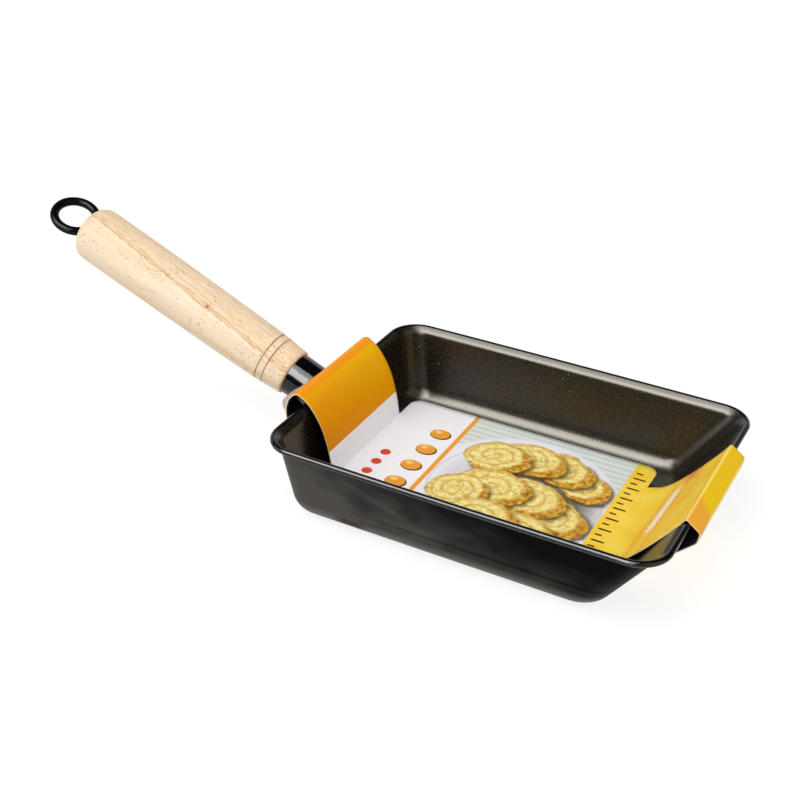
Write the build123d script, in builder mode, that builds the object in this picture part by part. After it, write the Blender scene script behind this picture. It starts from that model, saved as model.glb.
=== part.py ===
from build123d import *
from math import asin, atan2, cos, hypot, radians, sin, tan
import os

os.makedirs("parts", exist_ok=True)

# The pan's underside lies on Z = 0, its rim is centred on the Z axis, and the handle leaves toward minus X.

# Pan, a pressed steel sheet. Lengths in mm, angles in degrees.
pan_length = 200.0
pan_width = 150.0
pan_height = 42.9
sheet = 1.2
lip_reach = 3.4
lip_height = 3.3
side_lean = 8.4
far_lean = 34.0
lip_corner = 16.0
base_corner = 14.5
base_round = 11.0

# Neck, a steel tube that meets the end wall through a riveted flange.
handle_rise = 22.3
neck_height = 23.2
neck_length = 35.1
neck_radius = 11.8
neck_wall = 1.5
flange_width = 56.0
flange_height = 28.5
flange_thickness = 2.0
flange_corner = 8.0
flange_rise = 1.0

# Rivets that hold the flange to the end wall.
rivet_radius = 2.5
rivet_head_radius = 4.4
rivet_head_height = 1.6
rivet_head_taper = 35.0
rivet_pitch_across = 42.0
rivet_pitch_up = 10.0

# Threaded plug welded into the neck.
plug_thickness = 5.0
plug_gap = 3.0

# Turned wooden handle.
handle_length = 142.0
handle_front_radius = 12.8
handle_groove_radius = 14.05
handle_middle_radius = 15.0
handle_back_radius = 15.4
handle_back_round = 8.0
handle_front_round = 1.2
groove_places = (11.6, 15.8)
groove_width = 0.9
groove_depth = 0.45
tenon_length = 14.0

# Wire rod that ties the handle to the neck and is bent into the hanging eye.
wire_radius = 2.15
thread_radius = 2.5
thread_length = 12.0
thread_past_plug = 1.5
eye_radius = 11.45
eye_reach = 9.7
eye_offset = 1.5
eye_turn = 11.5
washer_radius = 7.5
washer_thickness = 1.2

# Card band that runs over both end rims and round under the base. Its straps hold its panel above the pan's floor.
card = 0.5
strap_width = 71.0
panel_rise = 4.9
panel_side_gap = 1.8
panel_corner = 6.0
near_crease_inset = 9.2
far_crease_inset = 10.1
crest_out = 3.3
crest_rise = 5.2
loop_out = 9.4
loop_drop = 5.0
near_rest_out = 6.0
far_fold_in = 1.2
far_fold_rise = 1.8
far_shoulder_out = 5.5
far_shoulder_drop = 3.9
far_tuck_out = 4.8
far_tuck_drop = 9.4
fold_round = 1.4
tuck_round = 3.0
neck_hole_room = 1.4

# How the band's two free legs bow, as shares of the way along and up from a crease to its crest or fold.
near_leg_shares = ((0.30, 0.62), (0.70, 0.93))
far_leg_shares = ((0.26, 0.13), (0.516, 0.386))

# Clearances.
card_clearance = 0.3
weld_clearance = 0.05
rivet_clearance = 0.05
thread_clearance = 0.05
tenon_clearance = 0.1
washer_clearance = 0.3
bore_clearance = 0.5
counterbore_clearance = 0.4
overrun = 5.0

# Sizes of the pan worked out from the values above.
lip_slope = lip_reach / lip_height
side_slope = tan(radians(side_lean))
far_slope = tan(radians(far_lean))
knee_z = pan_height - lip_height
inner_knee_z = knee_z + sheet / 2
knee_x = pan_length / 2 - lip_reach
knee_y = pan_width / 2 - lip_reach
side_skin = sheet / cos(radians(side_lean))
far_skin = sheet / cos(radians(far_lean))
lip_skin = sheet * hypot(1, lip_slope)


def wall_section(z, side_inset, far_inset, corner):
    """Rounded rectangle at a height, inside the leaning walls by an inset."""
    side = knee_y - (knee_z - z) * side_slope - side_inset
    near = knee_x - (knee_z - z) * side_slope - side_inset
    far = knee_x - (knee_z - z) * far_slope - far_inset
    with BuildSketch(Plane(origin=((far - near) / 2, 0, z))) as outline:
        RectangleRounded(far + near, 2 * side, corner)
    return outline.sketch


def lip_section(z, inset):
    """Rounded rectangle at a height, inside the flared lip by an inset."""
    grow = (z - knee_z) * lip_slope - inset
    with BuildSketch(Plane.XY.offset(z)) as outline:
        RectangleRounded(2 * (knee_x + grow), 2 * (knee_y + grow), lip_corner - lip_reach + grow)
    return outline.sketch


# Hollow of the pan: leaning walls over a rounded floor, then the inside of the lip.
with BuildPart() as pan_hollow:
    loft([
        wall_section(sheet, side_skin, far_skin, base_corner - side_skin),
        wall_section(inner_knee_z, side_skin, far_skin, lip_corner - lip_reach - side_skin),
    ], ruled=True)
    fillet(pan_hollow.faces().sort_by(Axis.Z)[0].edges(), base_round - sheet)
    loft([
        wall_section(inner_knee_z, side_skin, far_skin, lip_corner - lip_reach - side_skin),
        lip_section(pan_height + overrun, lip_skin),
    ], ruled=True)

# Neck axis, from the point where it meets the outside of the handle end wall.
wall_tilt = radians(side_lean)
wall_normal = Vector(-cos(wall_tilt), 0, -sin(wall_tilt))
neck_root = Vector(-(knee_x - (knee_z - neck_height) * side_slope), 0, neck_height)
rise = radians(handle_rise)
handle_direction = Vector(-cos(rise), 0, sin(rise))
shoulder = neck_root + handle_direction * neck_length
handle_axis = Axis(shoulder, handle_direction)
handle_plane = Plane(origin=shoulder, x_dir=(0, 1, 0), z_dir=handle_direction)
handle_side_plane = Plane(origin=shoulder, x_dir=handle_direction, z_dir=(0, 1, 0))

# Flange plane, on the outside of the wall, with its local Y up the wall.
wall_up = Vector(-sin(wall_tilt), 0, cos(wall_tilt))
flange_plane = Plane(origin=neck_root + wall_up * flange_rise, x_dir=(0, -1, 0), z_dir=wall_normal)
flange_face_plane = flange_plane.offset(flange_thickness)
rivet_places = GridLocations(rivet_pitch_across, rivet_pitch_up, 2, 2)
rivet_hole_radius = rivet_radius + rivet_clearance

# Pressed steel pan with its rivet holes.
with BuildPart() as pan_body:
    loft([
        wall_section(0, 0, 0, base_corner),
        wall_section(knee_z, 0, 0, lip_corner - lip_reach),
    ], ruled=True)
    fillet(pan_body.faces().sort_by(Axis.Z)[0].edges(), base_round)
    loft([lip_section(knee_z, 0), lip_section(pan_height, 0)], ruled=True)
    add(pan_hollow.part, mode=Mode.SUBTRACT)
    with BuildSketch(flange_plane.offset(-sheet - overrun)):
        with rivet_places:
            Circle(rivet_hole_radius)
    extrude(amount=sheet + overrun + flange_thickness, mode=Mode.SUBTRACT)

# Saddle flange on the end wall.
with BuildPart() as neck_flange:
    with BuildSketch(flange_plane):
        RectangleRounded(flange_width, flange_height, flange_corner)
        with rivet_places:
            Circle(rivet_hole_radius, mode=Mode.SUBTRACT)
    extrude(amount=flange_thickness)

# Rivets: a shank through wall and flange, with a flat domed head on each side.
with BuildPart() as flange_rivets:
    with BuildSketch(flange_plane.offset(-sheet)):
        with rivet_places:
            Circle(rivet_radius)
    extrude(amount=sheet + flange_thickness)
    with BuildSketch(flange_face_plane):
        with rivet_places:
            Circle(rivet_head_radius)
    extrude(amount=rivet_head_height, taper=rivet_head_taper)
    with BuildSketch(flange_plane.offset(-sheet)):
        with rivet_places:
            Circle(rivet_head_radius)
    extrude(amount=-rivet_head_height, taper=rivet_head_taper)

# Neck tube, square at the wood and cut to the slope of the flange at the pan.
neck_bore_radius = neck_radius - neck_wall
with BuildPart() as neck_tube:
    with BuildSketch(handle_plane):
        Circle(neck_radius)
        Circle(neck_bore_radius, mode=Mode.SUBTRACT)
    extrude(amount=-neck_length - neck_radius)
    split(bisect_by=flange_face_plane, keep=Keep.TOP)

# Threaded plug inside the neck.
plug_place = tenon_length + plug_gap
with BuildPart() as neck_plug:
    with BuildSketch(handle_plane.offset(-plug_place)):
        Circle(neck_bore_radius - weld_clearance)
        Circle(thread_radius + thread_clearance, mode=Mode.SUBTRACT)
    extrude(amount=-plug_thickness)

# Eye of the tie rod: a wire ring that starts inside the counterbore of the wood.
eye_root = handle_length + eye_reach - eye_radius
seat = eye_root - wire_radius
washer_seat = seat - washer_thickness
rod_bore_radius = thread_radius + bore_clearance
eye_half_chord = ((eye_radius + wire_radius) ** 2 - eye_reach**2) ** 0.5
counterbore_radius = hypot(eye_half_chord, eye_offset) + counterbore_clearance

# Turned handle: a tenon in the neck, a shoulder against its end, and a gently swelling grip.
tenon_radius = neck_bore_radius - tenon_clearance
with BuildPart() as wooden_handle:
    with BuildSketch(handle_side_plane):
        with BuildLine():
            tenon_line = Polyline(
                (-tenon_length, 0),
                (-tenon_length, tenon_radius),
                (0, tenon_radius),
                (0, handle_front_radius - handle_front_round),
                (handle_front_round, handle_front_radius),
            )
            front_line = Line(tenon_line @ 1, (groove_places[-1], handle_groove_radius))
            grip_line = ThreePointArc(
                front_line @ 1,
                (handle_length / 2, handle_middle_radius),
                (handle_length - handle_back_round, handle_back_radius),
            )
            back_line = RadiusArc(
                grip_line @ 1,
                (handle_length, handle_back_radius - handle_back_round),
                handle_back_round,
            )
            Polyline(back_line @ 1, (handle_length, 0), (-tenon_length, 0))
        make_face()
    revolve(axis=handle_axis)
    with BuildSketch(handle_side_plane):
        for place in groove_places:
            along = (place - handle_front_round) / (groove_places[-1] - handle_front_round)
            surface = handle_front_radius + along * (handle_groove_radius - handle_front_radius)
            with Locations((place, surface)):
                Rectangle(groove_width, 2 * groove_depth)
    revolve(axis=handle_axis, mode=Mode.SUBTRACT)
    with BuildSketch(handle_plane.offset(-tenon_length)):
        Circle(rod_bore_radius)
    extrude(amount=tenon_length + handle_length, mode=Mode.SUBTRACT)
    with BuildSketch(handle_plane.offset(washer_seat)):
        Circle(counterbore_radius)
    extrude(amount=handle_length, mode=Mode.SUBTRACT)

# Washer on the floor of the counterbore.
with BuildPart() as eye_washer:
    with BuildSketch(handle_plane.offset(washer_seat)):
        Circle(washer_radius)
        Circle(wire_radius + washer_clearance, mode=Mode.SUBTRACT)
    extrude(amount=washer_thickness)

# Tie rod and hanging eye, one piece of wire with a rolled thread at its front end.
turn = radians(eye_turn)
handle_up = Vector(sin(rise), 0, cos(rise))
eye_across = Vector(0, cos(turn), 0) + handle_up * sin(turn)
eye_normal = handle_direction.cross(eye_across)
eye_centre = shoulder + handle_direction * (handle_length + eye_reach) + handle_up * eye_offset
eye_tip = eye_centre + handle_direction * eye_radius
eye_tip_plane = Plane(origin=eye_tip, x_dir=handle_direction, z_dir=eye_across)
thread_end = plug_place + plug_thickness + thread_past_plug
with BuildPart() as hanging_rod:
    with BuildSketch(handle_plane.offset(-thread_end)):
        Circle(thread_radius)
    extrude(amount=thread_length)
    with BuildSketch(handle_plane.offset(-thread_end)):
        Circle(wire_radius)
    extrude(amount=thread_end + eye_root)
    with BuildSketch(eye_tip_plane):
        Circle(wire_radius)
    revolve(axis=Axis(eye_centre, eye_normal))

# The panel is as wide as the flat of the floor between the rounds of the side walls, less a gap.
floor_round_run = (base_round - sheet) * tan(radians(90 - side_lean) / 2)
floor_flat_half = knee_y - (knee_z - sheet) * side_slope - side_skin - floor_round_run
panel_width = 2 * (floor_flat_half - panel_side_gap)

# Corners of the band's profile, on the side that faces the pan, as (X, Z).
floor_near = knee_x - (knee_z - sheet) * side_slope
floor_far = knee_x - (knee_z - sheet) * far_slope
base_near = knee_x - knee_z * side_slope
base_far = knee_x - knee_z * far_slope
panel_z = sheet + panel_rise
near_crease = Vector(near_crease_inset - floor_near, panel_z)
far_crease = Vector(floor_far - far_crease_inset, panel_z)
crest = Vector(-pan_length / 2 - crest_out, pan_height + crest_rise)
loop_side = Vector(-pan_length / 2 - loop_out, pan_height - loop_drop)
near_rest = Vector(-base_near - near_rest_out, 0)
far_fold = Vector(pan_length / 2 - far_fold_in, pan_height + far_fold_rise)
far_shoulder = Vector(pan_length / 2 + far_shoulder_out, pan_height - far_shoulder_drop)
far_tuck = Vector(pan_length / 2 + far_tuck_out, pan_height - far_tuck_drop)

# The strap under the far wall is pulled straight, tangent to the round of the base.
round_centre = Vector(base_far - base_round * tan(radians(90 - far_lean) / 2), base_round)
pull = far_tuck - round_centre
pull_angle = atan2(pull.Y, pull.X) + asin((base_round + card_clearance) / pull.length)
far_rest = Vector(far_tuck.X - far_tuck.Y / tan(pull_angle), 0)


def between(start, end, shares):
    """Points at shares of the way along and up from start to end."""
    return [(start.X + (end.X - start.X) * along, start.Y + (end.Y - start.Y) * up) for along, up in shares]


with BuildSketch(Plane.XZ) as band_inside:
    with BuildLine():
        near_leg = ThreePointArc(near_crease, *between(near_crease, crest, near_leg_shares))
        ThreePointArc(near_leg @ 1, crest, loop_side)
        Polyline(loop_side, near_rest, far_rest, far_tuck, far_shoulder, far_fold)
        far_leg = ThreePointArc(far_crease, *between(far_crease, far_fold, far_leg_shares))
        Line(far_fold, far_leg @ 1)
        Line(far_crease, near_crease)
    make_face()
    for corner, radius in (
        (far_rest, base_round),
        (far_tuck, tuck_round),
        (far_shoulder, fold_round),
    ):
        fillet(band_inside.vertices().sort_by_distance(corner)[0], radius)

with BuildSketch(Plane.XZ) as band_outside:
    add(band_inside.sketch)
    offset(amount=card)

# Hole in the band's outer leg, round the neck.
with BuildPart() as neck_hole:
    with BuildSketch(handle_plane):
        Circle(neck_radius + neck_hole_room)
    extrude(amount=-neck_length - neck_radius)
    split(bisect_by=Plane.YZ.offset(-base_near - near_rest_out / 2), keep=Keep.BOTTOM)

# Card sleeve: the band, with a wider rounded panel over the pan's floor.
with BuildPart() as card_sleeve:
    extrude(band_outside.sketch, amount=strap_width / 2, both=True)
    extrude(band_inside.sketch, amount=strap_width / 2, both=True, mode=Mode.SUBTRACT)
    add(neck_hole.part, mode=Mode.SUBTRACT)
    with BuildSketch(Plane(origin=((near_crease.X + far_crease.X) / 2, 0, panel_z))):
        RectangleRounded(far_crease.X - near_crease.X, panel_width, panel_corner)
    extrude(amount=card)

for name, piece in (
    ("pan_body", pan_body),
    ("neck_flange", neck_flange),
    ("flange_rivets", flange_rivets),
    ("neck_tube", neck_tube),
    ("neck_plug", neck_plug),
    ("wooden_handle", wooden_handle),
    ("eye_washer", eye_washer),
    ("hanging_rod", hanging_rod),
    ("card_sleeve", card_sleeve),
):
    piece.part.label = name
    export_step(piece.part, f"parts/{name}.step")
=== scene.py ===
from math import cos, radians, sin, tan

import bmesh
import bpy
import numpy as np
from mathutils import Matrix, Vector


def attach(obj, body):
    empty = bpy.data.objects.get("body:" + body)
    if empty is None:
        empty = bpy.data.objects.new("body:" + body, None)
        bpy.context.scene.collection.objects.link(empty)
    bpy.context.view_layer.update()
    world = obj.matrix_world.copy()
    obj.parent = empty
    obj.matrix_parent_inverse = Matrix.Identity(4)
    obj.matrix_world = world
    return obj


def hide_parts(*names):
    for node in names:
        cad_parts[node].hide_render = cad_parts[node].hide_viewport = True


# A rectangular omelette pan with a turned wooden handle and a card band: its looks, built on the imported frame.
# The pan's underside lies on z = 0, the handle points to minus x, and sizes below are in millimetres, apart from the
# studio's.
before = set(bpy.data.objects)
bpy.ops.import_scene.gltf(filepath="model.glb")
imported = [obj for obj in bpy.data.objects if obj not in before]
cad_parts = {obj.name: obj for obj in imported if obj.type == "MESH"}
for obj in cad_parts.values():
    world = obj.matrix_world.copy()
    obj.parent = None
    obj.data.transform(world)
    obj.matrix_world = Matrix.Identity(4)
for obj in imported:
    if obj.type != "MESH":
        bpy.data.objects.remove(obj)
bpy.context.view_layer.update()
MM = 0.001

# Pan, pressed from one sheet.
pan_length = 200.0
pan_width = 150.0
pan_height = 42.9
sheet = 1.2
lip_reach = 3.4
lip_height = 3.3
lip_angle = radians(50)
curl_round = 1.0
curl_turn = radians(160)
side_lean = radians(8.4)
far_lean = radians(34.0)
lip_corner = 16.0
base_corner = 14.5
base_round = 11.0
knee_round = 0.35
rim_bow = 0.5
knee_x = pan_length / 2 - lip_reach
knee_y = pan_width / 2 - lip_reach
knee_z = pan_height - lip_height
lip_slope = tan(lip_angle)
# The lip's line ends where the curl that follows it just reaches the pan's height.
lip_end_z = pan_height - sheet / 2 * (1 + sin(lip_angle)) - curl_round * (1 - sin(lip_angle))

# How finely the pan's surface is divided: points round a corner and along an edge, rows up the base round, the
# wall, the knee with the lip, the curl and the sheet's edge, and rings in each floor. The knee's rows start
# knee_reach below it, and the rim's paint reaches paint_rows down the lip.
corner_points = 15
edge_points = 25
base_rows = 26
wall_rows = 8
knee_rows = 26
curl_rows = 19
edge_rows = 9
floor_rings = 7
knee_reach = 3.2
paint_rows = 9
# Numbers of the pan's finishes, in the order in which it is given them.
coat_outside, coat_inside, rim_paint = 0, 1, 2

# Neck and handle, on one axis that rises from the shoulder of the wood.
shoulder = np.array([-126.653, 0.0, 36.519])
rise = radians(22.3)
handle_direction = np.array([-cos(rise), 0.0, sin(rise)])
handle_up = np.array([sin(rise), 0.0, cos(rise)])
handle_across = np.array([0.0, 1.0, 0.0])
handle_length = 142.0
front_radius = 12.8
groove_radius = 14.05
middle_radius = 15.0
back_radius = 15.4
front_round = 1.2
back_round = 8.0
groove_places = (11.6, 15.8)
groove_width = 0.9
groove_depth = 0.45
tenon_length = 14.0
tenon_radius = 10.2
tenon_bevel = 0.6
bore_radius = 3.0
counterbore_radius = 10.05
counterbore_bevel = 0.5
washer_seat = 136.9
# Steps of the profile up to the grooves and in them, its rows behind them, points of its front edge and back end,
# and points round the axis.
grip_step = 1.2
groove_step = 0.1
grip_rows = 34
front_points = 7
back_points = 22
turned_points = 128

# Tie rod and its hanging eye, one black painted wire.
wire_radius = 2.4
eye_radius = 11.3
eye_reach = 9.7
eye_offset = 1.5
eye_turn = radians(11.5)
rod_end = -23.0
# Bevels of the rod's two ends, along it and across it, and the thin core on which its ends close.
rod_end_bevel = (0.6, 0.4)
rod_root_bevel = (1.0, 0.6)
rod_core = 0.01
ring_points = 120
wire_points = 28

# Card band, as the line that its middle layer follows past the pan, in x and z.
card = 0.5
strap_half = 35.5
panel_half = 54.45
panel_corner = 6.0
panel_rise = 4.9
card_low = -card / 2
panel_z = sheet + panel_rise + card / 2
near_crease = (-82.0, panel_z)
far_crease = (60.6, panel_z)
near_leg = (near_crease, (-84.2, 19.1), (-88.2, 32.3), (-94.6, 42.8), (-100.2, 47.4),
            (-103.4, 48.25), (-106.9, 45.5), (-108.7, 41.9), (-109.5, 37.4), (-108.9, 32.2), (-106.5, 22.9),
            (-103.0, 13.5), (-99.2, 4.0))
near_rest = (-97.0, card_low)
far_leg = (far_crease, (69.8, 10.1), (80.8, 21.1), (93.6, 37.3), (98.3, 44.5))
far_top = (105.5, 39.1)
far_tuck = (104.7, 33.5)
lap_place = (-20.0, card_low)
# Room between the card and the pan's base round.
base_room = 0.45
# Points of each piece of an eased line, their spacing, the whole line's spacing, and points round the base round.
curve_points = 40
leg_step = 0.25
line_step = 0.1
tuck_points = 12
# How widely folds are rounded, and between which x the near end's blur gives way to the far end's.
fold_blur = 0.35
far_fold_blur = 0.9
far_blur_from, far_blur_to = 80.0, 90.0
# The pucker beside the neck's hole: how far it stands out, its height above the table with its spread, the height
# below which the card is left alone, and where it rises and falls across the card.
pucker_push = 10.0
pucker_height = 33.0
pucker_spread = 7.0
pucker_floor = 2.0
pucker_rise = (-34.0, -23.0)
pucker_fall = (-14.5, -8.0)
# The hole, in a block of the outer leg that reaches this far to the sides and below the hole's middle. The leg
# counts as such above leg_low, and the hole's edge is found in this many halvings.
neck_hole_radius = 13.2
hole_block_half = 22.0
hole_block_low = 18.5
leg_low = 1.0
hole_rings = 7
halvings = 30
# Lengthwise lines in the card's parts, the length and the turn between its rows, the turns of the panel's round
# corners that have rows, in radians, how near points are merged, and the room left for rounding.
side_lines = 9
block_lines = 31
wing_lines = 6
row_length = 4.0
row_turn = radians(4)
corner_turns = np.linspace(0.2, 1.4, 8)
weld = 0.02
hair = 1e-6

# The card's own map: length along the band and place across it, in mm over print_scale, moved into the unit square.
print_scale = 600.0
print_shift = 0.5

# The photograph's camera: its turn from the front, tilt and roll, its place, and its sensor's width and lens.
camera_turn, camera_tilt, camera_roll = radians(27.37), radians(30.59), radians(1.51)
camera_place = (207.43, -522.97, 387.19)
sensor_width, lens_length = 36.0, 60.38

# The studio, in metres: how far each lamp is from the place it faces, the floor's reach, and the way from the pan
# to the white backdrop.
lamp_distance = 2.0
lamp_aim = (-0.05, 0.0, 0.02)
floor_reach = 6.0
far_side = (-0.46, 0.888, 0.0)
# How bright the floor glows in plain light and as rays see it directly, the world's plain light, and how bright
# gloss shows the dark part of the studio.
floor_glow = (0.44, 0.8)
plain_light = 0.52
studio_dark = 0.03

# A Mix node's settings for colours, with the number of its colour output.
blend = {"give": 2, "data_type": "RGBA"}
# The kinds of ray that see the white background.
direct_rays = ("Is Camera Ray", "Is Glossy Ray", "Is Transmission Ray")


def linear(code):
    """Linear RGBA of an sRGB hex colour."""
    levels = [int(code[place:place + 2], 16) / 255 for place in (1, 3, 5)]
    return [level / 12.92 if level <= 0.04045 else ((level + 0.055) / 1.055) ** 2.4 for level in levels] + [1.0]


def add(tree, kind, sockets=None, give=0, stops=(), **settings):
    """Adds a node and returns its output called give. Settings are its properties, sockets its inputs, each given a
    value, a hex colour or an output to link, and stops are a ramp's places and colours. A Mix of colours takes them
    at inputs 6 and 7."""
    made = tree.nodes.new("ShaderNode" + kind)
    for name, value in settings.items():
        setattr(made, name, value)
    for name, value in (sockets or {}).items():
        if isinstance(value, bpy.types.NodeSocket):
            tree.links.new(value, made.inputs[name])
        else:
            made.inputs[name].default_value = linear(value) if isinstance(value, str) else value
    for number, (place, code) in enumerate(stops):
        steps = made.color_ramp.elements
        step = steps[number] if number < 2 else steps.new(place)
        step.position = place
        step.color = linear(code)
    return made.outputs[give] if made.outputs else None


def new_finish(name):
    """An empty material and its node tree."""
    material = bpy.data.materials.new(name)
    material.use_nodes = True
    material.node_tree.nodes.clear()
    return material, material.node_tree


def between(tree, value, start, end, soft):
    """1 where value lies between start and end, falling to 0 over soft at both."""
    rising = add(tree, "MapRange", {0: value, 1: start - soft / 2, 2: start + soft / 2})
    falling = add(tree, "MapRange", {0: value, 1: end - soft / 2, 2: end + soft / 2, 3: 1.0, 4: 0.0})
    return add(tree, "Math", {0: rising, 1: falling}, operation="MULTIPLY")


def in_ellipse(tree, place, middle, half_sizes, turn=0.0):
    """A place as an ellipse has it, from its middle, turned back and over its half sizes, and the length of that,
    which is 1 on the edge. The ellipse is turned by turn, in degrees."""
    local = add(tree, "Mapping", {"Vector": place, "Location": (*middle, 0), "Rotation": (0, 0, radians(turn)),
                                  "Scale": (*half_sizes, 1)}, vector_type="TEXTURE")
    return local, add(tree, "VectorMath", {0: local}, give="Value", operation="LENGTH")


def arc(centre, radius, start, end, steps):
    """Points of an arc in a plane, with start and end in degrees."""
    angle = np.radians(np.linspace(start, end, steps))
    return np.stack([centre[0] + radius * np.cos(angle), centre[1] + radius * np.sin(angle)], 1)


def grid_corners(rows, columns):
    """Row and column numbers of each face's four corners in a grid of points."""
    row, column = np.meshgrid(np.arange(rows - 1), np.arange(columns - 1), indexing="ij")
    corner_row = np.stack([row, row + 1, row + 1, row], -1).reshape(-1, 4)
    corner_column = np.stack([column, column, column + 1, column + 1], -1).reshape(-1, 4)
    return corner_row, corner_column


def make_piece(name, points, faces, uv=None, smooth=35):
    """A mesh object from points in mm and faces, with uv as one pair for each face corner, riding on the root."""
    mesh = bpy.data.meshes.new(name)
    mesh.from_pydata((np.asarray(points) * MM).tolist(), [], [list(face) for face in faces])
    if uv is not None:
        layer = mesh.uv_layers.new(name="print")
        layer.data.foreach_set("uv", np.asarray(uv, np.float32).ravel())
    mesh.update()
    mesh.shade_smooth()
    mesh.set_sharp_from_angle(angle=radians(smooth))
    piece = bpy.data.objects.new(name, mesh)
    bpy.context.scene.collection.objects.link(piece)
    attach(piece, "root")
    return piece


def tube_faces(rows, columns, closed_rows):
    """Faces of a grid whose columns run round a closed loop, and whose rows do so too if closed_rows."""
    row, column = grid_corners(rows + closed_rows, columns + 1)
    return ((row % rows) * columns + column % columns).tolist()


def turned(profile, steps):
    """Points of a profile of (along, radius) turned about the handle's axis: each point circles the axis at its
    radius, in the plane through its place along."""
    angle = np.linspace(0, 2 * np.pi, steps, endpoint=False)
    ring = np.cos(angle)[:, None] * handle_up + np.sin(angle)[:, None] * handle_across
    points = shoulder + profile[:, None, :1] * handle_direction + profile[:, None, 1:] * ring
    return points.reshape(-1, 3)


def wall_place(z, lean):
    """Place of a wall's outside at height z, measured outward from the knee line, and the base round's share in it,
    which is 0 or less. The wall is a straight line that leans by lean, an arc of base_round joins it to the
    underside, and at the knee a soft maximum of wall and lip lines rounds it into the lip."""
    line = -(knee_z - z) * tan(lean)
    centre = -(knee_z - base_round) * tan(lean) - base_round / cos(lean)
    drop = np.clip(base_round - z, 0, base_round)
    arc_place = centre + np.sqrt(base_round**2 - drop**2)
    wall = np.where(z < base_round * (1 - sin(lean)), arc_place, line)
    lip = (z - knee_z) * lip_slope
    return wall + knee_round * np.logaddexp(0, (lip - wall) / knee_round), wall - line


def pan_outline(z):
    """Rounded rectangles at heights z, as an array of height by place round the outline. Each corner is a quarter
    ellipse, smaller by what the base round takes off, and the long edges bow: toward their ends they draw in by up
    to rim_bow."""
    side, side_inset = wall_place(z, side_lean)
    far, far_inset = wall_place(z, far_lean)
    share = np.clip(z / knee_z, 0, 1)
    corner = base_corner + (lip_corner - lip_reach - base_corner) * share + np.clip(z - knee_z, 0, None) * lip_slope
    reach_near, reach_far, reach_side = knee_x + side, knee_x + far, knee_y + side
    near_corner, far_corner = corner + side_inset, corner + far_inset
    quarter = np.linspace(0, np.pi / 2, corner_points)
    along = np.linspace(0, 1, edge_points)[1:-1]
    up, right = np.cos(quarter), np.sin(quarter)

    def run(start, end):
        return start[:, None] + (end - start)[:, None] * along

    x_near, x_far = -(reach_near - near_corner), reach_far - far_corner
    y_edge = reach_side - near_corner
    flat = np.ones((1, along.size))
    x = np.concatenate([
        x_far[:, None] + far_corner[:, None] * up, run(x_far, x_near),
        x_near[:, None] - near_corner[:, None] * right, -reach_near[:, None] * flat,
        x_near[:, None] - near_corner[:, None] * up, run(x_near, x_far),
        x_far[:, None] + far_corner[:, None] * right, reach_far[:, None] * flat,
    ], 1)
    y = np.concatenate([
        y_edge[:, None] + near_corner[:, None] * right, reach_side[:, None] * flat,
        y_edge[:, None] + near_corner[:, None] * up, run(y_edge, -y_edge),
        -y_edge[:, None] - near_corner[:, None] * right, -reach_side[:, None] * flat,
        -y_edge[:, None] - near_corner[:, None] * up, run(-y_edge, y_edge),
    ], 1)
    y = y - np.sign(y) * rim_bow * share[:, None] * (x / knee_x) ** 2 * np.abs(y / knee_y)
    return np.stack([x, y, np.broadcast_to(z[:, None], x.shape)], -1)


def grid_normals(points):
    """Unit normals of a grid that is closed along its second axis, from the cross product of its two tangents."""
    down = np.gradient(points, axis=0)
    round_about = np.roll(points, -1, 1) - np.roll(points, 1, 1)
    normal = np.cross(round_about, down)
    return normal / np.linalg.norm(normal, axis=-1, keepdims=True)


def floor_fill(ring, count):
    """Rings that shrink from a flat ring to near its centre, evenly, and the centre point."""
    centre = ring.mean(0)
    share = np.linspace(1, 0, count + 1)[1:-1]
    return centre + (ring - centre) * share[:, None, None], centre


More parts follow.
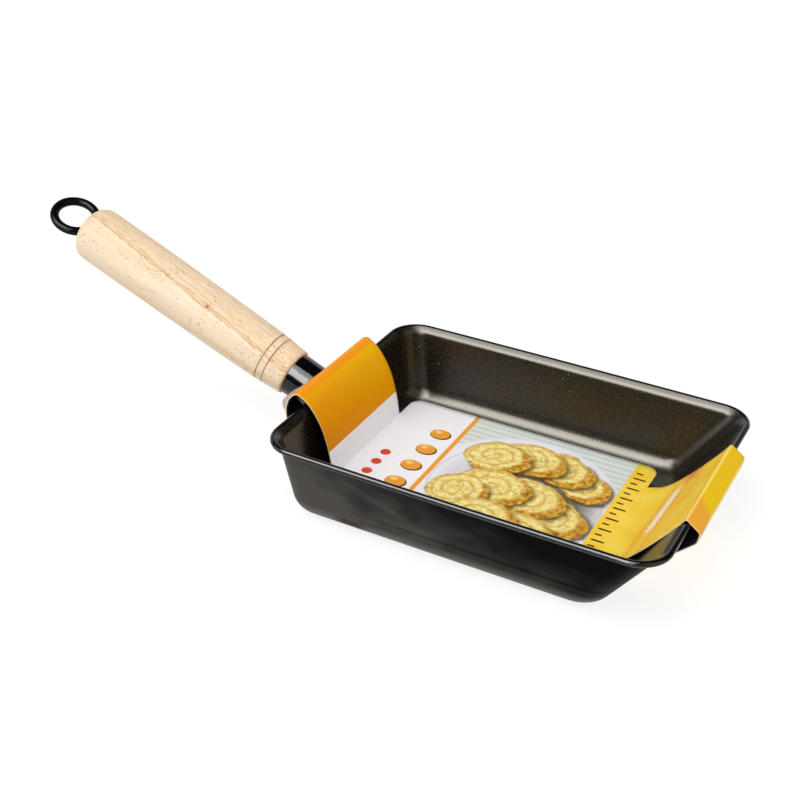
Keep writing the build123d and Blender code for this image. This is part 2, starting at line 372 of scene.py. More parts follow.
def make_pan():
    """The pressed sheet: outer walls from the outline at many heights, the inner face one sheet away along the
    normals, a lip whose edge curls outward on an arc and ends in a half round, and both floors filled by shrinking
    rings."""
    fillet = base_round * (1 - np.cos(np.linspace(0, np.pi / 2 - side_lean, base_rows)))
    wall = np.linspace(fillet[-1], knee_z - knee_reach, wall_rows)[1:]
    knee = np.linspace(wall[-1], lip_end_z, knee_rows)[1:]
    outer = pan_outline(np.concatenate([fillet, wall, knee]))
    normal = grid_normals(outer)
    normal[0] = (0, 0, -1)
    inner = outer - sheet * normal
    middle = (outer[-1] + inner[-1]) / 2
    forward = np.cross(normal[-1], np.roll(outer[-1], -1, 0) - np.roll(outer[-1], 1, 0))
    forward /= np.linalg.norm(forward, axis=-1, keepdims=True)
    turn = np.linspace(0, curl_turn, curl_rows)[1:, None, None]
    curl = middle + curl_round * (np.sin(turn) * forward + (1 - np.cos(turn)) * normal[-1])
    curl_normal = np.cos(turn) * normal[-1] - np.sin(turn) * forward
    curl_forward = np.cos(curl_turn) * forward + np.sin(curl_turn) * normal[-1]
    half = np.linspace(0, np.pi, edge_rows)[1:-1, None, None]
    end = curl[-1] + sheet / 2 * (np.cos(half) * curl_normal[-1] + np.sin(half) * curl_forward)
    rim = np.concatenate([curl + sheet / 2 * curl_normal, end, (curl - sheet / 2 * curl_normal)[::-1]])
    under, under_centre = floor_fill(outer[0], floor_rings)
    over, over_centre = floor_fill(inner[0], floor_rings)
    rows = np.concatenate([under[::-1], outer, rim, inner[::-1], over])
    count, columns = rows.shape[:2]
    faces = tube_faces(count, columns, False)
    points = np.concatenate([rows.reshape(-1, 3), [under_centre, over_centre]])
    step = np.arange(columns)
    ahead = (step + 1) % columns
    last = (count - 1) * columns
    low_cap = np.stack([np.full(columns, len(points) - 2), step, ahead], 1)
    high_cap = np.stack([np.full(columns, len(points) - 1), last + ahead, last + step], 1)
    pan = make_piece("pan_shell", points, faces + low_cap.tolist() + high_cap.tolist(), smooth=60)
    row = np.arange(count - 1)
    lip_row = len(under) + len(outer)
    finish = np.where(row < lip_row + len(rim), rim_paint, coat_inside)
    finish[row < lip_row - paint_rows] = coat_outside
    finish = np.concatenate([np.repeat(finish, columns), np.full(columns, coat_outside),
                             np.full(columns, coat_inside)])
    pan.data.polygons.foreach_set("material_index", finish.astype(np.int32))
    face_outward(pan)
    return pan


def face_outward(piece):
    """Turns a closed mesh so that its faces point outward."""
    shell = bmesh.new()
    shell.from_mesh(piece.data)
    bmesh.ops.recalc_face_normals(shell, faces=shell.faces)
    shell.to_mesh(piece.data)
    shell.free()
    piece.data.update()


def handle_profile():
    """Along and radius of the turned wood: tenon, shoulder, rounded front, two cut grooves, a swelling grip whose
    radius eases from groove to middle to back, a rounded end, the counterbore and the bore."""
    along = np.concatenate([
        np.arange(front_round, groove_places[0] - groove_width, grip_step),
        np.arange(groove_places[0] - groove_width, groove_places[-1] + groove_width, groove_step),
        np.linspace(groove_places[-1] + groove_width, handle_length - back_round, grip_rows)])
    knots = (0, groove_places[-1], handle_length / 2, handle_length - back_round)
    fit = np.polyfit(knots[1:], (groove_radius, middle_radius, back_radius), 2)
    taper = front_radius + (groove_radius - front_radius) * along / groove_places[-1]
    grip = np.where(along < groove_places[-1], taper, np.polyval(fit, along))
    for place in groove_places:
        depth = np.clip(1 - (2 * (along - place) / groove_width) ** 2, 0, 1)
        grip = grip - groove_depth * depth
    front_centre = (front_round, front_radius - front_round)
    back_centre = (handle_length - back_round, back_radius - back_round)
    back = arc(back_centre, back_round, 90, 0, back_points)
    back = back[back[:, 1] > counterbore_radius]
    return np.concatenate([
        [(-tenon_length, bore_radius), (-tenon_length, tenon_radius - tenon_bevel),
         (-tenon_length + tenon_bevel, tenon_radius), (0, tenon_radius)],
        arc(front_centre, front_round, 180, 95, front_points),
        np.stack([along, grip], 1), back[1:],
        [(back[-1, 0] - counterbore_bevel, counterbore_radius), (washer_seat, counterbore_radius),
         (washer_seat, bore_radius)],
    ])


def make_handle():
    """The wooden handle, its profile turned about the axis."""
    profile = handle_profile()
    handle = make_piece("turned_handle", turned(profile, turned_points),
                        tube_faces(len(profile), turned_points, True), smooth=40)
    face_outward(handle)
    return handle


def make_eye():
    """The wire: a straight rod on the handle's axis, and a ring whose plane holds the axis and is turned a little
    about it. Each is a circle of the wire's radius that is carried along a line, and the rod has bevelled ends."""
    across = handle_across * cos(eye_turn) + handle_up * sin(eye_turn)
    ring_axis = np.cross(handle_direction, across)
    centre = shoulder + handle_direction * (handle_length + eye_reach) + handle_up * eye_offset
    turn = np.linspace(0, 2 * np.pi, ring_points, endpoint=False)[:, None, None]
    outward = np.cos(turn) * handle_direction + np.sin(turn) * across
    angle = np.linspace(0, 2 * np.pi, wire_points, endpoint=False)[:, None]
    ring = centre + eye_radius * outward + wire_radius * (np.sin(angle) * ring_axis - np.cos(angle) * outward)
    root = handle_length + eye_reach - eye_radius
    rod = np.array([
        (rod_end, rod_core), (rod_end, wire_radius - rod_end_bevel[1]), (rod_end + rod_end_bevel[0], wire_radius),
        (root - rod_root_bevel[0], wire_radius), (root, wire_radius - rod_root_bevel[1]), (root, rod_core)])
    rod_faces = np.array(tube_faces(len(rod), wire_points, True)) + ring_points * wire_points
    eye = make_piece("hanging_eye_wire", np.concatenate([ring.reshape(-1, 3), turned(rod, wire_points)]),
                     tube_faces(ring_points, wire_points, True) + rod_faces.tolist())
    face_outward(eye)
    return eye


def smooth_line(points):
    """Points every leg_step along the curve that eases through the given ones, each third degree piece taking its
    end slopes from the neighbours."""
    knots = np.array(points)
    ends = np.concatenate([[2 * knots[0] - knots[1]], knots, [2 * knots[-1] - knots[-2]]])
    share = np.linspace(0, 1, curve_points, endpoint=False)[None, :, None]
    before, start, end, after = ends[:-3, None], ends[1:-2, None], ends[2:-1, None], ends[3:, None]
    curve = 0.5 * (2 * start + (end - before) * share + (2 * before - 5 * start + 4 * end - after) * share**2
                   + (3 * start - before - 3 * end + after) * share**3)
    return resample(np.concatenate([curve.reshape(-1, 2), knots[-1:]]), leg_step)


def lengths(line):
    """Length along a line of points, at each point."""
    return np.concatenate([[0], np.cumsum(np.linalg.norm(np.diff(line, axis=0), axis=1))])


def resample(line, spacing):
    """The same line with points every spacing."""
    run = lengths(line)
    even = np.linspace(0, run[-1], max(2, int(round(run[-1] / spacing)) + 1))
    return np.stack([np.interp(even, run, line[:, axis]) for axis in range(line.shape[1])], 1)


def averaged(line, blur):
    """A line of points line_step apart, each replaced by a mean of its neighbours weighted by a bell curve blur
    wide."""
    reach = int(4 * blur / line_step)
    weight = np.exp(-0.5 * (np.arange(-reach, reach + 1) * line_step / blur) ** 2)
    inner = np.stack([np.convolve(line[:, axis], weight / weight.sum(), "valid") for axis in range(2)], 1)
    return np.concatenate([line[:reach], inner, line[-reach:]])


def soft_step(value, start, end):
    """0 below start, 1 above end, and 3 t squared less 2 t cubed between."""
    share = np.clip((value - start) / (end - start), 0, 1)
    return share**2 * (3 - 2 * share)


def band_line():
    """The band's line, from its lap under the pan by way of the neck end, the floor and the far end back to the lap,
    and the length along it, which is 0 at the near crease. Under the far end it goes straight from its lower fold to
    the pan's base round and follows that, half a card outside it. Folds are rounded by averaging, more widely at
    the far end."""
    base_far = knee_x - knee_z * tan(far_lean)
    round_middle = np.array([base_far - base_round * tan((np.pi / 2 - far_lean) / 2) + base_room, base_round])
    pull = far_tuck - round_middle
    pull_angle = np.arctan2(pull[1], pull[0]) + np.arcsin((base_round - card_low) / np.linalg.norm(pull))
    tuck = arc(round_middle, base_round - card_low, np.degrees(pull_angle) - 90, -90, tuck_points)
    near = smooth_line(near_leg)[::-1]
    line = np.concatenate([[lap_place, near_rest], near, smooth_line(far_leg), [far_top, far_tuck], tuck,
                           [lap_place]])
    line = resample(line, line_step)
    sharp = averaged(line, fold_blur)
    soft = averaged(line, far_fold_blur)
    share = soft_step(line[:, :1], far_blur_from, far_blur_to)
    line = sharp + (soft - sharp) * share
    run = lengths(line)
    start = run[np.argmin(np.linalg.norm(line - near_crease, axis=1))]
    return line, run - start


band_points, band_run = band_line()
panel_end = band_run[np.argmin(np.linalg.norm(band_points - far_crease, axis=1))]
crest_run = band_run[np.argmax(np.where(band_run < 0, band_points[:, 1], -1))]
fold_start = float(band_run[np.argmin(np.linalg.norm(band_points - far_leg[-1], axis=1))] - panel_end)
fold_end = float(band_run[np.argmin(np.linalg.norm(band_points - far_top, axis=1))] - panel_end)


def band_place(along):
    """X and z of the band's line at lengths along it."""
    return np.interp(along, band_run, band_points[:, 0]), np.interp(along, band_run, band_points[:, 1])


def card_rows(low, high):
    """Places along the band from low to high, closer where it turns: one for each row_length or row_turn, and
    their shares add up."""
    heading = np.unwrap(np.arctan2(np.gradient(band_points[:, 1]), np.gradient(band_points[:, 0])))
    turned_by = np.concatenate([[0], np.cumsum(np.abs(np.diff(heading)))])
    demand = band_run / row_length + turned_by / row_turn
    first, last = np.interp([low, high], band_run, demand)
    return np.interp(np.linspace(first, last, max(2, int(last - first) + 1)), demand, band_run)


def card_place(along, across):
    """Points of the card's middle layer for length along the band and place across it. Beside the neck's hole the
    outer leg is puckered away from the pan on the near side: a bump with soft sides and a bell curve in height."""
    x, z = band_place(along)
    bump = soft_step(across, *pucker_rise) * (1 - soft_step(across, *pucker_fall))
    bump = bump * np.exp(-((z - pucker_height) / pucker_spread) ** 2)
    x = x - pucker_push * bump * (along < crest_run) * (z > pucker_floor)
    return np.stack([x, across, z], -1)


def neck_height(along):
    """Height of the band's line over the neck's axis, measured square to the axis."""
    x, z = band_place(along)
    return (x - shoulder[0]) * handle_up[0] + (z - shoulder[2]) * handle_up[2]


def hole_patch(rows, columns, block, hole_run):
    """Rings between the block's edge and the round hole: each edge point goes straight toward the hole's middle
    until it is the hole's radius from the neck's axis, found by halving."""
    inner_rows = rows[(rows >= block[0] - hair) & (rows <= block[1] + hair)]
    inner_columns = columns[np.abs(columns) <= hole_block_half + hair]
    top = np.stack([np.full(len(inner_columns), block[1]), inner_columns], 1)
    right = np.stack([inner_rows[::-1], np.full(len(inner_rows), hole_block_half)], 1)
    bottom = np.stack([np.full(len(inner_columns), block[0]), inner_columns[::-1]], 1)
    left = np.stack([inner_rows, np.full(len(inner_rows), -hole_block_half)], 1)
    edge = np.concatenate([top[:-1], right[:-1], bottom[:-1], left[:-1]])
    middle = np.array([hole_run, 0.0])
    near, far = np.zeros(len(edge)), np.ones(len(edge))
    for halving in range(halvings):
        share = (near + far) / 2
        test = middle + (edge - middle) * share[:, None]
        inside = np.hypot(neck_height(test[:, 0]), test[:, 1]) < neck_hole_radius
        near, far = np.where(inside, share, near), np.where(inside, far, share)
    share = far + (1 - far) * np.linspace(0, 1, hole_rings)[:, None]
    ring = middle + (edge - middle) * share[..., None]
    ring = np.concatenate([ring, ring[:, :1]], 1)
    row, column = grid_corners(*ring.shape[:2])
    return ring[..., 0], ring[..., 1], row, column


def make_card():
    """The card band: straps of even width, a wider rounded panel on the floor, and a round hole for the neck, all as
    patches of one surface that are merged and then given the card's thickness."""
    outer = band_run[(band_run < crest_run) & (band_points[:, 1] > leg_low)]
    hole_run = outer[np.argmin(np.abs(neck_height(outer)))]
    block = (hole_run - hole_block_low, crest_run)
    rounding = panel_corner * (1 - np.cos(corner_turns))
    stops = (band_run[0], block[0], block[1], 0.0, panel_end, band_run[-1])
    parts = [card_rows(*pair) for pair in zip(stops[:-1], stops[1:])]
    rows = np.unique(np.round(np.concatenate(parts + [rounding, panel_end - rounding]), 6))
    columns = np.concatenate([
        np.linspace(-strap_half, -hole_block_half, side_lines),
        np.linspace(-hole_block_half, hole_block_half, block_lines)[1:],
        np.linspace(hole_block_half, strap_half, side_lines)[1:]])
    block = (rows[np.argmin(np.abs(rows - block[0]))], rows[np.argmin(np.abs(rows - block[1]))])
    along, across = np.meshgrid(rows, columns, indexing="ij")
    row, column = grid_corners(len(rows), len(columns))
    row_middle, column_middle = rows[row].mean(1), columns[column].mean(1)
    hole = (row_middle > block[0]) & (row_middle < block[1]) & (np.abs(column_middle) < hole_block_half)
    patches = [(along, across, row[~hole], column[~hole]), hole_patch(rows, columns, block, hole_run)]
    panel_rows = rows[(rows >= -hair) & (rows <= panel_end + hair)]
    inset = np.clip(panel_corner - np.minimum(panel_rows, panel_end - panel_rows), 0, panel_corner)
    half = panel_half - panel_corner + np.sqrt(panel_corner**2 - inset**2)
    for side in (-1, 1):
        across = side * (strap_half + (half - strap_half)[:, None] * np.linspace(0, 1, wing_lines))
        along = np.broadcast_to(panel_rows[:, None], across.shape)
        row, column = grid_corners(*across.shape)
        patches.append((along, across, row[:, ::side], column[:, ::side]))
    points, faces, uv, start = [], [], [], 0
    for along, across, row, column in patches:
        points.append(card_place(along, across).reshape(-1, 3))
        faces.append(row * along.shape[1] + column + start)
        uv.append(np.stack([along[row, column], across[row, column]], -1).reshape(-1, 2))
        start += along.size
    piece = make_piece("card_band", np.concatenate(points), np.concatenate(faces).tolist(),
                       uv=np.concatenate(uv) / print_scale + print_shift, smooth=50)
    shell = bmesh.new()
    shell.from_mesh(piece.data)
    bmesh.ops.remove_doubles(shell, verts=shell.verts, dist=weld * MM)
    shell.to_mesh(piece.data)
    shell.free()
    # The back has the card's second finish, and the cut edge the third.
    thick = piece.modifiers.new("thickness", "SOLIDIFY")
    thick.thickness = card * MM
    thick.offset = 0
    thick.material_offset = 1
    thick.material_offset_rim = 2
    return piece


def millimetres(tree):
    """The object's own coordinates in mm."""
    place = add(tree, "TexCoord", give="Object")
    return add(tree, "VectorMath", {0: place, "Scale": 1 / MM}, operation="SCALE")


def handle_place(tree):
    """Distance along the handle from its shoulder, across it and above its axis, in mm, and the angle round it in
    degrees, which is 0 on top and grows toward minus y."""
    offset = add(tree, "VectorMath", {0: millimetres(tree), 1: shoulder}, operation="SUBTRACT")
    along, across, above = [
        add(tree, "VectorMath", {0: offset, 1: axis}, give="Value", operation="DOT_PRODUCT")
        for axis in (handle_direction, handle_across, handle_up)]
    turn = add(tree, "Math", {0: add(tree, "Math", {0: across, 1: -1.0}, operation="MULTIPLY"), 1: above},
               operation="ARCTAN2")
    angle = add(tree, "Math", {0: turn}, operation="DEGREES")
    return along, across, above, angle


# Darker lines that climb the wood, as their place on the streak's course in degrees, width and strength, and then
# lines that follow a course of their own, with where they start and end along the handle.
streak_lines = ((54.0, 9.0, 0.3), (59.2, 2.8, 1.0), (54.0, 2.4, 0.3), (44.0, 2.4, 0.3), (30.0, 3.0, 0.25))
loop_lines = ((48.0, 3.0, 83.0, 108.0, 0.9), (92.0, 2.6, 84.0, 106.0, 0.7))
second_lines = ((1.0, 1.6, -1.0, 30.0, 0.65), (1.0, 1.2, 30.0, 86.0, 0.3))
# How many degrees the streak and the second line climb in each mm along, and where the loop turns and how steeply.
streak_climb = 0.267
second_climb = -0.27
loop_turn = 94.0
loop_climb = 1.35
# Turn from one growth layer to the next, in degrees, and the knot's place along the handle and round it, in mm.
layer_turn = 6.5
knot_place = (55.7, 10.7, 0.0)


def beech():
    """Beech, turned, sanded and thinly lacquered: cream with soft grain along the handle, fine dark dashes and a
    matt sheen."""
    material, tree = new_finish("turned_beech")
    along, across, above, angle = handle_place(tree)
    round_about = add(tree, "Math", {0: angle, 1: radians(middle_radius)}, operation="MULTIPLY")
    surface_place = add(tree, "CombineXYZ", {0: along, 1: round_about})
    stretched = add(tree, "CombineXYZ", {0: add(tree, "Math", {0: along, 1: 0.06}, operation="MULTIPLY"),
                                         1: across, 2: above})
    # Grain about 0.7 mm across and 11 mm along, clouds ten times as large, and ripples of 8 mm that bend the lines.
    fine = add(tree, "TexNoise", {"Vector": stretched, "Scale": 1.5, "Detail": 4.0, "Roughness": 0.6})
    cloud = add(tree, "TexNoise", {"Vector": stretched, "Scale": 0.15, "Detail": 2.0})
    ripple = add(tree, "TexNoise", {"Vector": surface_place, "Scale": 0.12, "Detail": 3.0, "Roughness": 0.5})
    ripple = add(tree, "Math", {0: ripple, 1: 0.5}, operation="SUBTRACT")
    tone = add(tree, "Math", {0: cloud, 1: 0.7, 2: add(tree, "Math", {0: fine, 1: 0.3}, operation="MULTIPLY")},
               operation="MULTIPLY_ADD")
    pale = add(tree, "ValToRGB", {0: tone}, stops=((0.36, "#ecceaa"), (0.48, "#f3dabb"), (0.64, "#f9e7cd")))
    # The streak climbs from the near side at the front to the top at the back. Above it the wood is tanner, and its
    # growth layers show as lines 1.7 mm apart.
    course = add(tree, "Math", {0: along, 1: streak_climb, 2: angle}, operation="MULTIPLY_ADD")
    course = add(tree, "Math", {0: ripple, 1: 16.0, 2: course}, operation="MULTIPLY_ADD")
    layer = add(tree, "Math", {0: add(tree, "Math", {0: cloud, 1: 60.0, 2: course}, operation="MULTIPLY_ADD"),
                               1: 2 * np.pi / layer_turn}, operation="MULTIPLY")
    layer = add(tree, "Math", {0: layer}, operation="SINE")
    line_tone = add(tree, "Math", {0: layer, 1: 0.07, 2: fine}, operation="MULTIPLY_ADD")
    tan_wood = add(tree, "ValToRGB", {0: line_tone}, stops=((0.36, "#e0b888"), (0.47, "#edcfa8"), (0.62, "#f5dec0")))
    above_streak = add(tree, "MapRange", {0: course, 1: 10.0, 2: 56.0, 3: 0.55, 4: 1.0})
    upper = add(tree, "MapRange", {0: course, 1: 56.0, 2: 61.5, 3: 1.0, 4: 0.0})
    upper = add(tree, "Math", {0: upper, 1: add(tree, "MapRange", {0: angle, 1: -120.0, 2: -30.0})},
                operation="MULTIPLY")
    upper = add(tree, "Math", {0: upper, 1: above_streak}, operation="MULTIPLY")
    colour = add(tree, "Mix", {0: upper, 6: pale, 7: tan_wood}, **blend)
    broken = add(tree, "MapRange", {0: fine, 1: 0.4, 2: 0.58, 3: 1.0, 4: 0.35})
    for place, width, strength in streak_lines:
        line = between(tree, course, place - width / 2, place + width / 2, 1.6)
        line = add(tree, "Math", {0: line, 1: broken}, operation="MULTIPLY")
        colour = add(tree, "Mix", {0: add(tree, "Math", {0: line, 1: strength}, operation="MULTIPLY"), 6: colour,
                                   7: "#c7955c"}, **blend)
    # Two fainter lines: one hangs below the streak in a loop, and one parts from the top of the front end.
    loop = add(tree, "Math", {0: along, 1: loop_turn}, operation="SUBTRACT")
    loop = add(tree, "Math", {0: add(tree, "Math", {0: loop}, operation="ABSOLUTE"), 1: loop_climb, 2: angle},
               operation="MULTIPLY_ADD")
    loop = add(tree, "Math", {0: ripple, 1: 22.0, 2: loop}, operation="MULTIPLY_ADD")
    second = add(tree, "Math", {0: along, 1: second_climb, 2: angle}, operation="MULTIPLY_ADD")
    second = add(tree, "Math", {0: ripple, 1: 18.0, 2: second}, operation="MULTIPLY_ADD")
    own_lines = [(loop, *row) for row in loop_lines] + [(second, *row) for row in second_lines]
    for own_course, place, width, start, end, strength in own_lines:
        line = between(tree, own_course, place - width / 2, place + width / 2, 1.2)
        line = add(tree, "Math", {0: line, 1: between(tree, along, start, end, 4.0)}, operation="MULTIPLY")
        line = add(tree, "Math", {0: line, 1: broken}, operation="MULTIPLY")
        colour = add(tree, "Mix", {0: add(tree, "Math", {0: line, 1: strength}, operation="MULTIPLY"), 6: colour,
                                   7: "#c99560"}, **blend)
    # Pores are dashes about 0.2 by 1.5 mm in loose clusters; they are drawn at up to 0.7 by 2 mm so that they show.
    dash_place = add(tree, "VectorMath", {0: surface_place, 1: (0.4, 1.1, 1.0)}, operation="MULTIPLY")
    dash = add(tree, "TexVoronoi", {"Vector": dash_place, "Scale": 0.75}, give="Distance")
    cluster = add(tree, "TexNoise", {"Vector": dash_place, "Scale": 0.16, "Detail": 2.0})
    near_front = add(tree, "MapRange", {0: along, 1: 10.0, 2: 90.0, 3: 0.14, 4: 0.02})
    cluster = add(tree, "Math", {0: cluster, 1: near_front}, operation="ADD")
    size = add(tree, "MapRange", {0: cluster, 1: 0.4, 2: 0.6, 3: 0.0, 4: 0.3})
    dark = add(tree, "Math", {0: add(tree, "Math", {0: size, 1: dash}, operation="SUBTRACT"), 1: 10.0},
               operation="MULTIPLY", use_clamp=True)
    colour = add(tree, "Mix", {0: add(tree, "Math", {0: dark, 1: 0.6}, operation="MULTIPLY"), 6: colour,
                               7: "#bf8c5c"}, **blend)
    # A small knot on the streak.
    knot = add(tree, "VectorMath", {0: surface_place, 1: knot_place}, give="Value", operation="DISTANCE")
    for reach, end, strength, code in ((0.8, 4.0, 0.4, "#d79a6a"), (0.45, 1.15, 0.9, "#8a4c28")):
        spot = add(tree, "MapRange", {0: knot, 1: reach, 2: end, 3: strength, 4: 0.0})
        colour = add(tree, "Mix", {0: spot, 6: colour, 7: code}, **blend)
    # Burnt lines in the two grooves, and a reddish brown line at the front edge.
    for place, reach, soft, strength, code in ((groove_places[0], 0.4, 0.3, 0.95, "#a3703f"),
                                               (groove_places[1], 0.4, 0.3, 0.95, "#a3703f"),
                                               (0.2, 0.5, 0.6, 0.8, "#b9693a")):
        brown_line = between(tree, along, place - reach, place + reach, soft)
        brown_line = add(tree, "Math", {0: brown_line, 1: add(tree, "MapRange", {0: ripple, 1: -0.2, 2: 0.15, 3: strength,
                                                                    4: strength * 0.5})}, operation="MULTIPLY")
        colour = add(tree, "Mix", {0: brown_line, 6: colour, 7: code}, **blend)
    roughness = add(tree, "MapRange", {0: fine, 3: 0.45, 4: 0.62})
    height = add(tree, "Math", {0: dark, 1: -0.8, 2: fine}, operation="MULTIPLY_ADD")
    bump = add(tree, "Bump", {"Height": height, "Strength": 0.25, "Distance": 0.06 * MM})
    surface = add(tree, "BsdfPrincipled", {"Base Color": colour, "Roughness": roughness, "IOR": 1.22,
                                           "Normal": bump})
    add(tree, "OutputMaterial", {"Surface": surface})
    return material


def gloss_paint(name, roughness, index):
    """Stoved black enamel on steel: deep and wet looking, with the faint waviness of sprayed paint."""
    material, tree = new_finish(name)
    place = millimetres(tree)
    # Waves about 3 mm long, and dust of 0.3 mm that dulls the gloss in places.
    wave = add(tree, "TexNoise", {"Vector": place, "Scale": 0.35, "Detail": 2.0})
    dust = add(tree, "TexNoise", {"Vector": place, "Scale": 3.0, "Detail": 2.0})
    tone = add(tree, "MapRange", {0: dust, 1: 0.3, 2: 0.7, 3: roughness * 0.85, 4: roughness * 1.2})
    colour = add(tree, "ValToRGB", {0: wave}, stops=((0.3, "#030303"), (0.75, "#0b0b0c")))
    bump = add(tree, "Bump", {"Height": wave, "Strength": 0.12, "Distance": 0.4 * MM})
    surface = add(tree, "BsdfPrincipled", {"Base Color": colour, "Roughness": tone, "IOR": index, "Normal": bump})
    add(tree, "OutputMaterial", {"Surface": surface})
    return material


def bare_metal(name, dark, light, grain):
    """Plated or plain steel, tumbled: small even mottling and a dull shine. Grain is its patches in one mm."""
    material, tree = new_finish(name)
    place = millimetres(tree)
    mottle = add(tree, "TexNoise", {"Vector": place, "Scale": grain, "Detail": 4.0})
    colour = add(tree, "ValToRGB", {0: mottle}, stops=((0.3, dark), (0.7, light)))
    roughness = add(tree, "MapRange", {0: mottle, 3: 0.25, 4: 0.45})
    bump = add(tree, "Bump", {"Height": mottle, "Strength": 0.1, "Distance": 0.05 * MM})
    surface = add(tree, "BsdfPrincipled", {"Base Color": colour, "Metallic": 1.0, "Roughness": roughness,
                                           "Normal": bump})
    add(tree, "OutputMaterial", {"Surface": surface})
    return material


# Painted light on the pan's outside, each as where it starts and ends: a pale painted sheen streak, by its slanting
# height and along x, a dark painted gap beside it along x, and the painted shade line over the base round by height;
# and a dark brownish patch low on the wall along x.
sheen_band, sheen_ends = (11.8, 14.8), (-54.0, -24.0)
shade_gap_ends = (-51.0, -43.0)
shade_line_band = (13.4, 15.4)
low_patch_ends = (-61.0, -47.0)


def silicone_coat():
    """Charcoal silicone paint, baked on the outside of the pan: dull satin. Its colour holds painted reflection and
    shade: greyer toward the handle and low on the walls, soft uneven bands of painted sheen, a painted shade line
    where the wall meets the base round, and a paler painted sheen on the round below it; and a dark brownish patch
    low down."""
    material, tree = new_finish("charcoal_silicone_paint")
    place = millimetres(tree)
    x, y, z = [add(tree, "SeparateXYZ", {0: place}, give=axis) for axis in "XYZ"]
    # Slanting bands of painted sheen, about 8 by 18 mm, and the paint's orange peel, about 0.8 mm fine.
    slanted = add(tree, "Mapping", {"Vector": place, "Rotation": (0, radians(-20), 0), "Scale": (0.45, 1.0, 1.0)})
    cloud = add(tree, "TexNoise", {"Vector": slanted, "Scale": 0.12, "Detail": 3.0, "Distortion": 0.4})
    peel = add(tree, "TexNoise", {"Vector": place, "Scale": 1.2, "Detail": 3.0})
    # The tone is painted reflection and shade: greyer toward the handle, a fall along the wall that is steeper near
    # the rim, painted sheen bands, a slanting painted sheen streak with a painted dark gap beside it, and the
    # painted shade line.
    drop = add(tree, "MapRange", {0: z, 1: 35.0, 2: 14.0, 3: 0.0, 4: 21.0})
    rate = add(tree, "Math", {0: x, 1: 0.00023, 2: 0.024}, operation="MULTIPLY_ADD")
    tone = add(tree, "Math", {0: x, 1: -0.0091, 2: 0.2}, operation="MULTIPLY_ADD")
    tone = add(tree, "Math", {0: drop, 1: rate, 2: tone}, operation="MULTIPLY_ADD")
    cloud = add(tree, "Math", {0: cloud, 1: 0.5}, operation="SUBTRACT")
    tone = add(tree, "Math", {0: cloud, 1: 0.7, 2: tone}, operation="MULTIPLY_ADD")
    tone = add(tree, "Math", {0: peel, 1: 0.12, 2: tone}, operation="MULTIPLY_ADD")
    # Painted sheen: a pale streak that slants across the wall near the handle.
    slant = add(tree, "Math", {0: x, 1: 0.34, 2: z}, operation="MULTIPLY_ADD")
    streak = add(tree, "Math", {0: between(tree, slant, *sheen_band, 3.0), 1: between(tree, x, *sheen_ends, 8.0)},
                 operation="MULTIPLY")
    tone = add(tree, "Math", {0: streak, 1: 0.2, 2: tone}, operation="MULTIPLY_ADD")
    # Painted shade: a dark gap beside that streak.
    gap = between(tree, x, *shade_gap_ends, 9.0)
    tone = add(tree, "Math", {0: gap, 1: -0.16, 2: tone}, operation="MULTIPLY_ADD")
    # Painted shade: a dark line where the wall meets the base round, deeper away from the handle.
    depth = add(tree, "MapRange", {0: x, 1: -55.0, 2: 8.0, 3: -0.06, 4: -0.3})
    painted_shade_line = between(tree, z, *shade_line_band, 1.6)
    tone = add(tree, "Math", {0: painted_shade_line, 1: depth, 2: tone}, operation="MULTIPLY_ADD")
    colour = add(tree, "ValToRGB", {0: tone}, stops=((0.0, "#020202"), (0.25, "#151413"), (0.5, "#292725"),
                                                     (0.75, "#3c3a37"), (1.0, "#504d4a")))
    # Painted sheen: the base round is drawn paler, standing in for the floor's reflection in it.
    painted_sheen = add(tree, "MapRange", {0: z, 1: 10.5, 2: 5.0, 3: 0.0, 4: 0.9})
    colour = add(tree, "Mix", {0: painted_sheen, 6: colour, 7: "#76726d"}, **blend)
    # A dark brownish patch low on the wall, toward the handle end.
    low_dark_patch = add(tree, "Math", {0: between(tree, x, *low_patch_ends, 6.0),
                               1: add(tree, "MapRange", {0: z, 1: 10.0, 2: 7.5, 3: 0.0, 4: 0.8})},
                operation="MULTIPLY")
    colour = add(tree, "Mix", {0: low_dark_patch, 6: colour, 7: "#2c2120"}, **blend)
    roughness = add(tree, "MapRange", {0: peel, 1: 0.3, 2: 0.7, 3: 0.34, 4: 0.5})
    bump = add(tree, "Bump", {"Height": peel, "Strength": 0.15, "Distance": 0.1 * MM})
    surface = add(tree, "BsdfPrincipled", {"Base Color": colour, "Roughness": roughness, "IOR": 1.1, "Normal": bump})
    add(tree, "OutputMaterial", {"Surface": surface})
    return material


